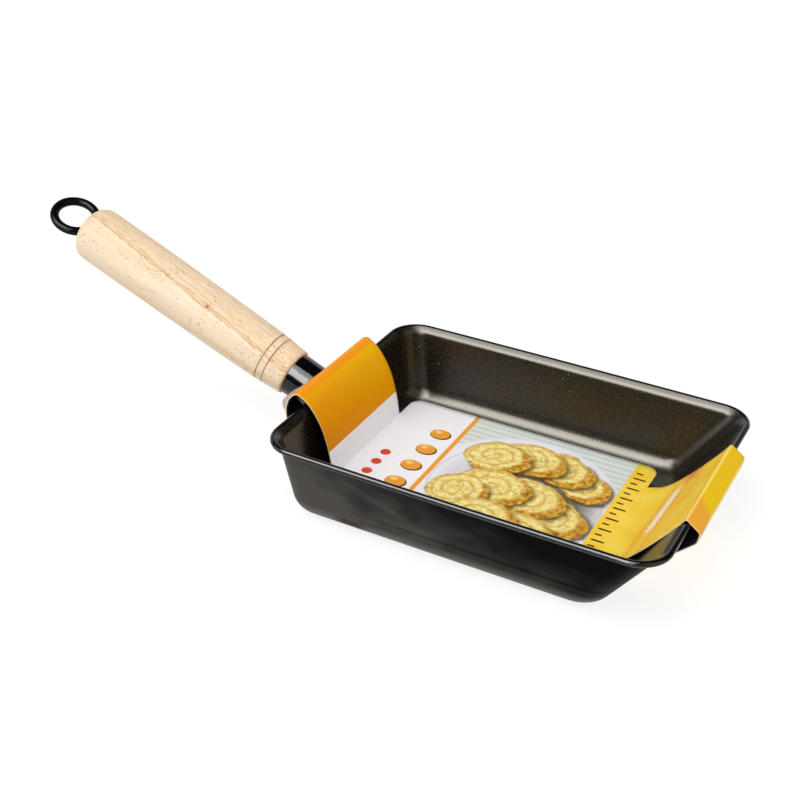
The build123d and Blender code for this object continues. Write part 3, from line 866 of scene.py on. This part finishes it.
def nonstick_coat():
    """Brown black fluoropolymer, sprayed on the inside: silky, with a fine grain that breaks up its sheen, and a few
    pale flecks."""
    material, tree = new_finish("speckled_nonstick")
    place = millimetres(tree)
    cloud = add(tree, "TexNoise", {"Vector": place, "Scale": 0.03, "Detail": 2.0})
    colour = add(tree, "ValToRGB", {0: cloud}, stops=((0.3, "#050302"), (0.7, "#0a0704")))
    # The real grain is about 0.2 mm; it is drawn at 0.9 mm so that it shows.
    grit = add(tree, "TexNoise", {"Vector": place, "Scale": 1.1, "Detail": 3.0, "Roughness": 0.8})
    light = add(tree, "MapRange", {0: grit, 1: 0.48, 2: 0.7, 3: 0.0, 4: 0.38})
    colour = add(tree, "Mix", {0: light, 6: colour, 7: "#5e482a"}, **blend)
    # Flecks about half a millimetre across, some 9 mm apart.
    fleck = add(tree, "TexVoronoi", {"Vector": place, "Scale": 0.11}, give="Distance")
    fleck = add(tree, "MapRange", {0: fleck, 1: 0.02, 2: 0.035, 3: 0.8, 4: 0.0})
    colour = add(tree, "Mix", {0: fleck, 6: colour, 7: "#c9c4ba"}, **blend)
    roughness = add(tree, "MapRange", {0: grit, 1: 0.3, 2: 0.7, 3: 0.24, 4: 0.32})
    bump = add(tree, "Bump", {"Height": grit, "Strength": 0.2, "Distance": 0.08 * MM})
    surface = add(tree, "BsdfPrincipled", {"Base Color": colour, "Roughness": roughness, "IOR": 1.52,
                                           "Specular Tint": "#fffaea", "Normal": bump})
    add(tree, "OutputMaterial", {"Surface": surface})
    return material


def print_place(tree):
    """Length along the band and place across it, in mm, from the card's own map."""
    pair = add(tree, "UVMap", uv_map="print")
    moved = add(tree, "VectorMath", {0: pair, 1: (print_shift, print_shift, 0)}, operation="SUBTRACT")
    moved = add(tree, "VectorMath", {0: moved, "Scale": print_scale}, operation="SCALE")
    return moved, *[add(tree, "SeparateXYZ", {0: moved}, give=axis) for axis in "XY"]


# Slices of rolled omelette in the card's picture: place along and across, half length, half width and turn.
omelette_slices = (
    (112.0, 21.0, 14.0, 12.0, -30), (97.0, 30.0, 16.5, 13.0, -12), (80.0, 31.0, 17.0, 13.5, 5),
    (63.0, 24.0, 16.5, 13.0, 25), (110.0, -11.0, 15.5, 13.5, -30), (92.0, -2.0, 18.0, 14.5, 0),
    (72.0, -2.0, 18.5, 14.5, 15), (58.0, -14.0, 15.5, 13.0, 60), (98.0, -31.0, 17.5, 14.0, 10),
    (76.0, -30.0, 18.5, 15.0, 25),
)
# Turns of the layers in a slice, the plate, the food's shade on it, and the stripes of the cloth.
roll_turns = 2.6
plate_middle = (86.0, -4.0)
plate_radius = 52.0
plate_rim = 16.0
shade_middle = (94.0, -3.0)
shade_half = (37.0, 44.0)
cloth_stripe = 4.6
# Where the inks meet, in mm along the band: the outer leg's grey beige, painted shade on white board, ends where
# the orange starts, the orange is brighter over the crest, and a thin line stands before the picture.
orange_start, orange_end = -56.0, -13.9
bright_start, bright_end = -75.0, -45.2
line_start = 38.3
picture_start, picture_end = 40.9, 131.3
yellow_end = 290.0
# Egg yolks that stand in a row across the white end of the card, and dots in another: place along and places across.
yolk_row = 29.0
yolk_places = (-40.0, -23.0, -6.0, 11.0, 28.0)
yolk_flatness = 0.82
dot_row = 12.0
dot_places = (-22.0, -12.0, -2.0)
# Orange glows on the far strap, past the panel: start, end, softness, colour and strength.
strap_glows = (
    (15.0, 19.0, 6.0, "#f39c28", 0.6), (24.0, 27.5, 4.0, "#f5a636", 0.6), (28.0, 36.0, 10.0, "#f8b63a", 0.5),
)
# The strap's pale streak, past the panel and across, the gap between its teeth, the slant that it shares with the
# glows, and a blush, past the panel and across, with its half sizes.
streak_reach, streak_sides = (19.8, 25.0), (-15.0, 22.0)
tooth_gap = 1.8
strap_slant = -0.1
blush_place, blush_half = (29.5, 36.0), (8.0, 15.0)
# The orange patch on the far fold slants by this much, and it ends between these two places before the fold.
patch_slant = 0.9
patch_ends = (16.0, 10.0)
# The rule's ticks: where they start, how far they reach to the sides, and the gap and end of long and short ones.
tick_start = 133.5
rule_half = 46.0
ticks = ((10.0, 140.0), (5.0, 137.0))


def card_picture(tree, place, along, across, under):
    """The picture printed on the card: a striped cloth, a pale plate and slices of rolled omelette on it."""
    waves = add(tree, "Math", {0: add(tree, "Math", {0: across, 1: 2 * np.pi / cloth_stripe}, operation="MULTIPLY")},
                operation="SINE")
    cloth = add(tree, "ValToRGB", {0: add(tree, "MapRange", {0: waves, 1: -1.0, 2: 1.0})},
                stops=((0.0, "#ced8cf"), (1.0, "#e6ebe6")))
    away = add(tree, "VectorMath", {0: place, 1: (*plate_middle, 0)}, give="Value", operation="DISTANCE")
    rim = add(tree, "MapRange", {0: away, 1: plate_radius - plate_rim, 2: plate_radius})
    plate = add(tree, "ValToRGB", {0: rim},
                stops=((0.0, "#dcdbe2"), (0.45, "#efedf4"), (0.52, "#dad9e0"), (0.6, "#f2f0f7"), (1.0, "#ece9f3")))
    colour = add(tree, "Mix", {0: add(tree, "MapRange", {0: away, 1: plate_radius + 0.6, 2: plate_radius - 0.6}),
                               6: cloth, 7: plate}, **blend)
    # The food's soft shade on the plate, greenish and toward the far end.
    shade = in_ellipse(tree, place, shade_middle, shade_half)[1]
    shade = add(tree, "MapRange", {0: shade, 1: 0.65, 2: 1.05, 3: 0.9, 4: 0.0})
    colour = add(tree, "Mix", {0: shade, 6: colour, 7: "#5f5c40"}, **blend)
    # Crumb, browning and herb specks of the food, and a map that makes its outlines uneven.
    crumb = add(tree, "TexNoise", {"Vector": place, "Scale": 0.32, "Detail": 5.0, "Roughness": 0.62})
    uneven = add(tree, "TexNoise", {"Vector": place, "Scale": 0.11, "Detail": 4.0, "Roughness": 0.55}, give="Color")
    centred = add(tree, "VectorMath", {0: uneven, 1: (0.5, 0.5, 0.5)}, operation="SUBTRACT")
    ragged = add(tree, "VectorMath", {0: centred, 1: (5.5, 5.5, 0.0), 2: place}, operation="MULTIPLY_ADD")
    inside = add(tree, "ValToRGB", {0: crumb},
                 stops=((0.3, "#d9b04a"), (0.42, "#eed274"), (0.55, "#f8e896"), (0.72, "#fcf5cf")))
    skin = add(tree, "ValToRGB", {0: crumb},
               stops=((0.3, "#7a4a10"), (0.43, "#b87d22"), (0.56, "#dfae40"), (0.75, "#f5dc7c")))
    herb = add(tree, "TexVoronoi", {"Vector": place, "Scale": 0.24}, give="Distance")
    herb = add(tree, "MapRange", {0: herb, 1: 0.1, 2: 0.17, 3: 0.8, 4: 0.0})
    for middle_along, middle_across, half_length, half_width, turn in omelette_slices:
        # Shade under the slice, its browned side, its cut face and the rolled layers in that.
        reaches = []
        for drop, grow in ((6.0, 1.0), (4.2, 0.0), (0.0, 0.0)):
            middle = (middle_along + drop, middle_across - drop * 0.7)
            local, away = in_ellipse(tree, ragged, middle, (half_length + grow, half_width + grow), turn)
            reaches.append(away)
        dark = add(tree, "MapRange", {0: reaches[0], 1: 0.88, 2: 1.06, 3: 0.85, 4: 0.0})
        colour = add(tree, "Mix", {0: dark, 6: colour, 7: "#46300f"}, **blend)
        side = add(tree, "MapRange", {0: reaches[1], 1: 0.97, 2: 1.03, 3: 1.0, 4: 0.0})
        colour = add(tree, "Mix", {0: side, 6: colour, 7: skin}, **blend)
        x, y = [add(tree, "SeparateXYZ", {0: local}, give=axis) for axis in "XY"]
        turns = add(tree, "Math", {0: add(tree, "Math", {0: y, 1: x}, operation="ARCTAN2"), 1: 1 / (2 * np.pi)},
                    operation="MULTIPLY")
        roll = add(tree, "Math", {0: reaches[2], 1: roll_turns, 2: turns}, operation="MULTIPLY_ADD")
        roll = between(tree, add(tree, "Math", {0: roll}, operation="FRACT"), 0.4, 0.56, 0.3)
        face = add(tree, "Mix", {0: add(tree, "Math", {0: roll, 1: 0.85}, operation="MULTIPLY"), 6: inside,
                                 7: "#c98f2c"}, **blend)
        face = add(tree, "Mix", {0: herb, 6: face, 7: "#8c8433"}, **blend)
        crust = add(tree, "MapRange", {0: reaches[2], 1: 0.86, 2: 1.0, 3: 0.0, 4: 0.85})
        face = add(tree, "Mix", {0: crust, 6: face, 7: skin}, **blend)
        cut = add(tree, "MapRange", {0: reaches[2], 1: 0.97, 2: 1.01, 3: 1.0, 4: 0.0})
        colour = add(tree, "Mix", {0: cut, 6: colour, 7: face}, **blend)
    framed = between(tree, along, picture_start, picture_end, 0.2)
    return add(tree, "Mix", {0: framed, 6: under, 7: colour}, **blend)


def card_print():
    """Coated paperboard, offset printed: flat clean inks under a thin satin varnish."""
    material, tree = new_finish("printed_paperboard")
    place, along, across = print_place(tree)
    # The board's fibres show as patches of 2 mm, and the inks are uneven over 17 mm.
    fibre = add(tree, "TexNoise", {"Vector": place, "Scale": 0.5, "Detail": 3.0})
    cloud = add(tree, "TexNoise", {"Vector": place, "Scale": 0.06, "Detail": 2.0})
    colour = add(tree, "ValToRGB", {0: fibre}, stops=((0.3, "#f5f2f6"), (0.7, "#faf8fb")))
    # The orange end: golden at its upper far side, deeper toward the near side and the bottom.
    slope = add(tree, "Math", {0: across, 1: 0.35, 2: add(tree, "Math", {0: along, 1: -1.0}, operation="MULTIPLY")},
                operation="MULTIPLY_ADD")
    slope = add(tree, "Math", {0: cloud, 1: 10.0, 2: slope}, operation="MULTIPLY_ADD")
    orange = add(tree, "ValToRGB", {0: add(tree, "MapRange", {0: slope, 1: 4.0, 2: 56.0})},
                 stops=((0.0, "#e88a00"), (0.5, "#ee9c00"), (1.0, "#f2b200")))
    bright = between(tree, along, bright_start, bright_end, 0.8)
    orange = add(tree, "Mix", {0: bright, 6: orange, 7: "#f69a12"}, **blend)
    on_orange = between(tree, along, orange_start, orange_end, 0.4)
    colour = add(tree, "Mix", {0: on_orange, 6: colour, 7: orange}, **blend)
    # Painted shade: the outer leg's white board is drawn grey beige.
    shaded_outer_leg = add(tree, "MapRange", {0: along, 1: orange_start - 1.0, 2: orange_start, 3: 1.0, 4: 0.0})
    colour = add(tree, "Mix", {0: shaded_outer_leg, 6: colour, 7: "#b9aaa2"}, **blend)
    # Golden yolks with a dark edge and a highlight, and three red dots.
    for middle in yolk_places:
        for shift, reach, code in ((0.5, 6.0, "#33200f"), (0.0, 5.5, "#f0a236"), (-1.6, 2.0, "#f8cf7c")):
            yolk = in_ellipse(tree, place, (yolk_row + shift, middle - shift), (reach, reach * yolk_flatness))[1]
            yolk = add(tree, "MapRange", {0: yolk, 1: 0.95, 2: 1.0, 3: 1.0, 4: 0.0})
            colour = add(tree, "Mix", {0: yolk, 6: colour, 7: code}, **blend)
    for middle in dot_places:
        dot = add(tree, "VectorMath", {0: place, 1: (dot_row, middle, 0)}, give="Value", operation="DISTANCE")
        colour = add(tree, "Mix", {0: add(tree, "MapRange", {0: dot, 1: 2.7, 2: 2.9, 3: 1.0, 4: 0.0}), 6: colour,
                                   7: "#dc4a26"}, **blend)
    line = between(tree, along, line_start, picture_start, 0.3)
    colour = add(tree, "Mix", {0: line, 6: colour, 7: "#f3a43c"}, **blend)
    colour = card_picture(tree, place, along, across, colour)
    # The yellow end, with centimetre and half centimetre ticks like a rule's.
    yellow = add(tree, "ValToRGB", {0: cloud}, stops=((0.35, "#fbce34"), (0.65, "#fedc54")))
    on_yellow = between(tree, along, picture_end, yellow_end, 0.3)
    colour = add(tree, "Mix", {0: on_yellow, 6: colour, 7: yellow}, **blend)
    for gap, tick_end in ticks:
        to_tick = add(tree, "Math", {0: across, 1: gap / 2}, operation="PINGPONG")
        tick = add(tree, "MapRange", {0: to_tick, 1: 0.5, 2: 0.7, 3: 1.0, 4: 0.0})
        in_row = between(tree, along, tick_start, tick_end, 0.3)
        tick = add(tree, "Math", {0: tick, 1: in_row}, operation="MULTIPLY")
        on_rule = between(tree, across, -rule_half, rule_half, 0.3)
        tick = add(tree, "Math", {0: tick, 1: on_rule}, operation="MULTIPLY")
        colour = add(tree, "Mix", {0: tick, 6: colour, 7: "#2a1e14"}, **blend)
    # Soft orange glow, a pale streak and a blush on the far strap.
    past = add(tree, "Math", {0: along, 1: float(panel_end)}, operation="SUBTRACT")
    leaning = add(tree, "Math", {0: across, 1: strap_slant, 2: past}, operation="MULTIPLY_ADD")
    for start, end, soft, code, strength in strap_glows:
        glow = add(tree, "Math", {0: between(tree, leaning, start, end, soft), 1: strength}, operation="MULTIPLY")
        colour = add(tree, "Mix", {0: glow, 6: colour, 7: code}, **blend)
    teeth = add(tree, "Math", {0: across, 1: tooth_gap}, operation="PINGPONG")
    toothed = add(tree, "Math", {0: teeth, 1: 1.1, 2: leaning}, operation="MULTIPLY_ADD")
    streak = add(tree, "Math", {0: between(tree, toothed, *streak_reach, 0.7),
                                1: between(tree, across, *streak_sides, 6.0)}, operation="MULTIPLY")
    streak = add(tree, "Math", {0: streak, 1: add(tree, "MapRange", {0: fibre, 1: 0.42, 2: 0.52, 3: 0.5, 4: 1.0})},
                 operation="MULTIPLY")
    colour = add(tree, "Mix", {0: streak, 6: colour, 7: "#fff2e6"}, **blend)
    blush = in_ellipse(tree, place, (float(panel_end) + blush_place[0], blush_place[1]), blush_half)[1]
    colour = add(tree, "Mix", {0: add(tree, "MapRange", {0: blush, 1: 0.35, 2: 1.0, 3: 0.9, 4: 0.0}), 6: colour,
                               7: "#ee9058"}, **blend)
    # The far fold's face: deeper yellow, an orange patch at its near end and a painted highlight along the first
    # fold.
    face = between(tree, past, fold_start, fold_end, 0.6)
    colour = add(tree, "Mix", {0: face, 6: colour, 7: "#efc310"}, **blend)
    patch = add(tree, "Math", {0: add(tree, "Math", {0: past, 1: patch_slant, 2: across}, operation="MULTIPLY_ADD"),
                               1: cloud}, operation="ADD")
    full, none = [fold_start * patch_slant - reach for reach in patch_ends]
    patch = add(tree, "MapRange", {0: patch, 1: full, 2: none, 3: 0.8, 4: 0.0})
    patch = add(tree, "Math", {0: patch, 1: add(tree, "MapRange", {0: past, 1: fold_start - 3, 2: fold_start})},
                operation="MULTIPLY")
    colour = add(tree, "Mix", {0: patch, 6: colour, 7: "#f0a23a"}, **blend)
    # Painted highlight: a pale line along the first fold.
    painted_sheen = between(tree, past, fold_start - 0.5, fold_start + 0.4, 0.7)
    colour = add(tree, "Mix", {0: add(tree, "Math", {0: painted_sheen, 1: 0.6}, operation="MULTIPLY"), 6: colour,
                               7: "#ffe88a"}, **blend)
    roughness = add(tree, "MapRange", {0: fibre, 3: 0.36, 4: 0.46})
    bump = add(tree, "Bump", {"Height": fibre, "Strength": 0.05, "Distance": 0.1 * MM})
    surface = add(tree, "BsdfPrincipled", {"Base Color": colour, "Roughness": roughness, "IOR": 1.17,
                                           "Normal": bump})
    add(tree, "OutputMaterial", {"Surface": surface})
    return material


def card_board(name, dark, light):
    """The paperboard's nearly black back or its cream cut edge, both uncoated: matt and slightly fibrous, with
    fibres of about 0.8 mm."""
    material, tree = new_finish(name)
    place = millimetres(tree)
    fibre = add(tree, "TexNoise", {"Vector": place, "Scale": 1.2, "Detail": 4.0})
    colour = add(tree, "ValToRGB", {0: fibre}, stops=((0.3, dark), (0.7, light)))
    bump = add(tree, "Bump", {"Height": fibre, "Strength": 0.2, "Distance": 0.05 * MM})
    surface = add(tree, "BsdfPrincipled", {"Base Color": colour, "Roughness": 0.75, "Normal": bump})
    add(tree, "OutputMaterial", {"Surface": surface})
    return material


def dress(piece, *materials):
    """Gives a piece its materials, in the order of its faces' numbers."""
    if piece.data.materials:
        piece.data.materials.clear()
    for material in materials:
        piece.data.materials.append(material)


def soft_box(name, direction, width, height, radiance, in_gloss=True, in_light=True):
    """A rectangular lamp that faces lamp_aim from a direction, with its width along x as far as that can be. Its
    width and height are in degrees as the pan sees them, and its radiance is what gloss shows of it. One that is not
    in_light is a reflector's image: it shows in gloss and adds no light."""
    lamp = bpy.data.lights.new(name, "AREA")
    lamp.shape = "RECTANGLE"
    lamp.size = 2 * lamp_distance * tan(radians(width / 2))
    lamp.size_y = 2 * lamp_distance * tan(radians(height / 2))
    lamp.energy = radiance * lamp.size * lamp.size_y * np.pi
    holder = bpy.data.objects.new(name, lamp)
    toward = Vector(direction).normalized()
    aside = (Vector((1, 0, 0)) - toward * toward.x).normalized()
    turned_to = Matrix((aside, toward.cross(aside), toward)).transposed().to_4x4()
    turned_to.translation = Vector(lamp_aim) + toward * lamp_distance
    holder.matrix_world = turned_to
    bpy.context.scene.collection.objects.link(holder)
    holder.visible_camera = False
    holder.visible_glossy = in_gloss
    holder.visible_diffuse = in_light


def make_camera():
    """The photograph's camera: it looks against back, which is turned from minus y toward x and tilted up, and its
    right and up are rolled a little about that."""
    level = cos(camera_tilt)
    back = Vector((sin(camera_turn) * level, -cos(camera_turn) * level, sin(camera_tilt)))
    right = (-back).cross(Vector((0, 0, 1))).normalized()
    up = back.cross(right)
    rolled_right = right * cos(camera_roll) + up * sin(camera_roll)
    rolled_up = up * cos(camera_roll) - right * sin(camera_roll)
    lens = bpy.data.cameras.new("photo_camera")
    lens.sensor_width = sensor_width
    lens.lens = lens_length
    lens.clip_start = 0.01
    lens.clip_end = 50
    camera = bpy.data.objects.new("photo_camera", lens)
    turned_to = Matrix((rolled_right, rolled_up, back)).transposed().to_4x4()
    turned_to.translation = Vector(camera_place) * MM
    camera.matrix_world = turned_to
    bpy.context.scene.collection.objects.link(camera)
    bpy.context.scene.camera = camera


def seen_directly(tree):
    """1 for camera, glossy and transmission rays, which see the white background."""
    seen = [add(tree, "LightPath", give=name) for name in direct_rays]
    either = add(tree, "Math", {0: seen[0], 1: seen[1]}, operation="MAXIMUM")
    return add(tree, "Math", {0: either, 1: seen[2]}, operation="MAXIMUM")


def make_stage():
    """White floor under the card, and a white world. Rays from the camera and from gloss see plain white, less the
    object's soft shadow; the rest get a plain level of light."""
    mesh = bpy.data.meshes.new("floor")
    corners = [(x * floor_reach, y * floor_reach, -card * MM) for x, y in ((-1, -1), (1, -1), (1, 1), (-1, 1))]
    mesh.from_pydata(corners, [], [(0, 1, 2, 3)])
    floor = bpy.data.objects.new("floor", mesh)
    bpy.context.scene.collection.objects.link(floor)
    material, tree = new_finish("white_sweep")
    paper = add(tree, "BsdfDiffuse", {"Color": "#8f8f8f"})
    strength = add(tree, "MapRange", {0: seen_directly(tree), 3: floor_glow[0], 4: floor_glow[1]})
    glow = add(tree, "Emission", {"Color": "#ffffff", "Strength": strength})
    both = add(tree, "AddShader", {0: paper, 1: glow})
    add(tree, "OutputMaterial", {"Surface": both})
    mesh.materials.append(material)
    # For gloss the white backdrop stands on the far side, up to 30 degrees, and the rest of the studio is dark.
    world = bpy.data.worlds.new("studio")
    world.use_nodes = True
    sky = world.node_tree
    sky.nodes.clear()
    direction = add(sky, "TexCoord", give="Generated")
    height = add(sky, "SeparateXYZ", {0: direction}, give="Z")
    facing = add(sky, "VectorMath", {0: direction, 1: far_side}, give="Value", operation="DOT_PRODUCT")
    backdrop = add(sky, "Math", {0: add(sky, "MapRange", {0: height, 1: 0.44, 2: 0.54, 3: 1.0, 4: 0.0}),
                                 1: add(sky, "MapRange", {0: facing, 1: 0.5, 2: 0.7})}, operation="MULTIPLY")
    backdrop = add(sky, "MapRange", {0: backdrop, 3: studio_dark, 4: 1.0})
    in_camera, in_gloss, in_glass = [add(sky, "LightPath", give=name) for name in direct_rays]
    clear = add(sky, "Math", {0: in_camera, 1: in_glass}, operation="MAXIMUM")
    plain = add(sky, "MapRange", {0: clear, 3: plain_light, 4: 1.0})
    strength = add(sky, "Mix", {0: in_gloss, 2: plain, 3: backdrop})
    background = add(sky, "Background", {"Color": "#ffffff", "Strength": strength})
    add(sky, "OutputWorld", {"Surface": background})
    bpy.context.scene.world = world


# The pieces that stand for CAD solids, and the finishes of all the rest.
pan = make_pan()
dress(pan, silicone_coat(), nonstick_coat(), gloss_paint("black_rim_paint", 0.15, 1.45))
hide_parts("pan_body")
handle = make_handle()
dress(handle, beech())
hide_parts("wooden_handle")
eye = make_eye()
dress(eye, gloss_paint("black_wire_enamel", 0.18, 1.2))
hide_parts("hanging_rod")
sleeve = make_card()
# The card's back is drawn nearly black.
dress(sleeve, card_print(), card_board("dark_card_back", "#1a1714", "#26221e"),
      card_board("cut_card_edge", "#f3d9a8", "#ffe4b4"))
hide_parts("card_sleeve")

enamel = gloss_paint("black_neck_enamel", 0.09, 1.42)
solid_finish = {
    "neck_tube": enamel,
    "neck_flange": enamel,
    "flange_rivets": bare_metal("rivet_steel", "#8d8d8a", "#b9b8b4", 0.8),
    "neck_plug": bare_metal("mild_steel", "#5c5a57", "#84817c", 0.5),
    "eye_washer": bare_metal("zinc_plate", "#9c9fa0", "#c6c9c8", 1.2),
}
for node, finish in solid_finish.items():
    dress(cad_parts[node], finish)

make_camera()
make_stage()
soft_box("key_box", (-0.3, -0.4, 0.86), 50, 40, 2.35)
soft_box("front_box", (-0.1, -0.95, 0.25), 40, 60, 0.6, in_gloss=False)
soft_box("right_box", (0.85, -0.25, 0.45), 60, 50, 0.8)
soft_box("key_glare", (-0.33, -0.63, 0.7), 44, 42, 12.0, in_light=False)
soft_box("neck_glare", (0.1, -0.78, 0.62), 26, 84, 5.5, in_light=False)
soft_box("left_glare", (-0.89, -0.46, 0.12), 30, 40, 1.6, in_light=False)
bpy.context.scene.view_settings.view_transform = "Standard"
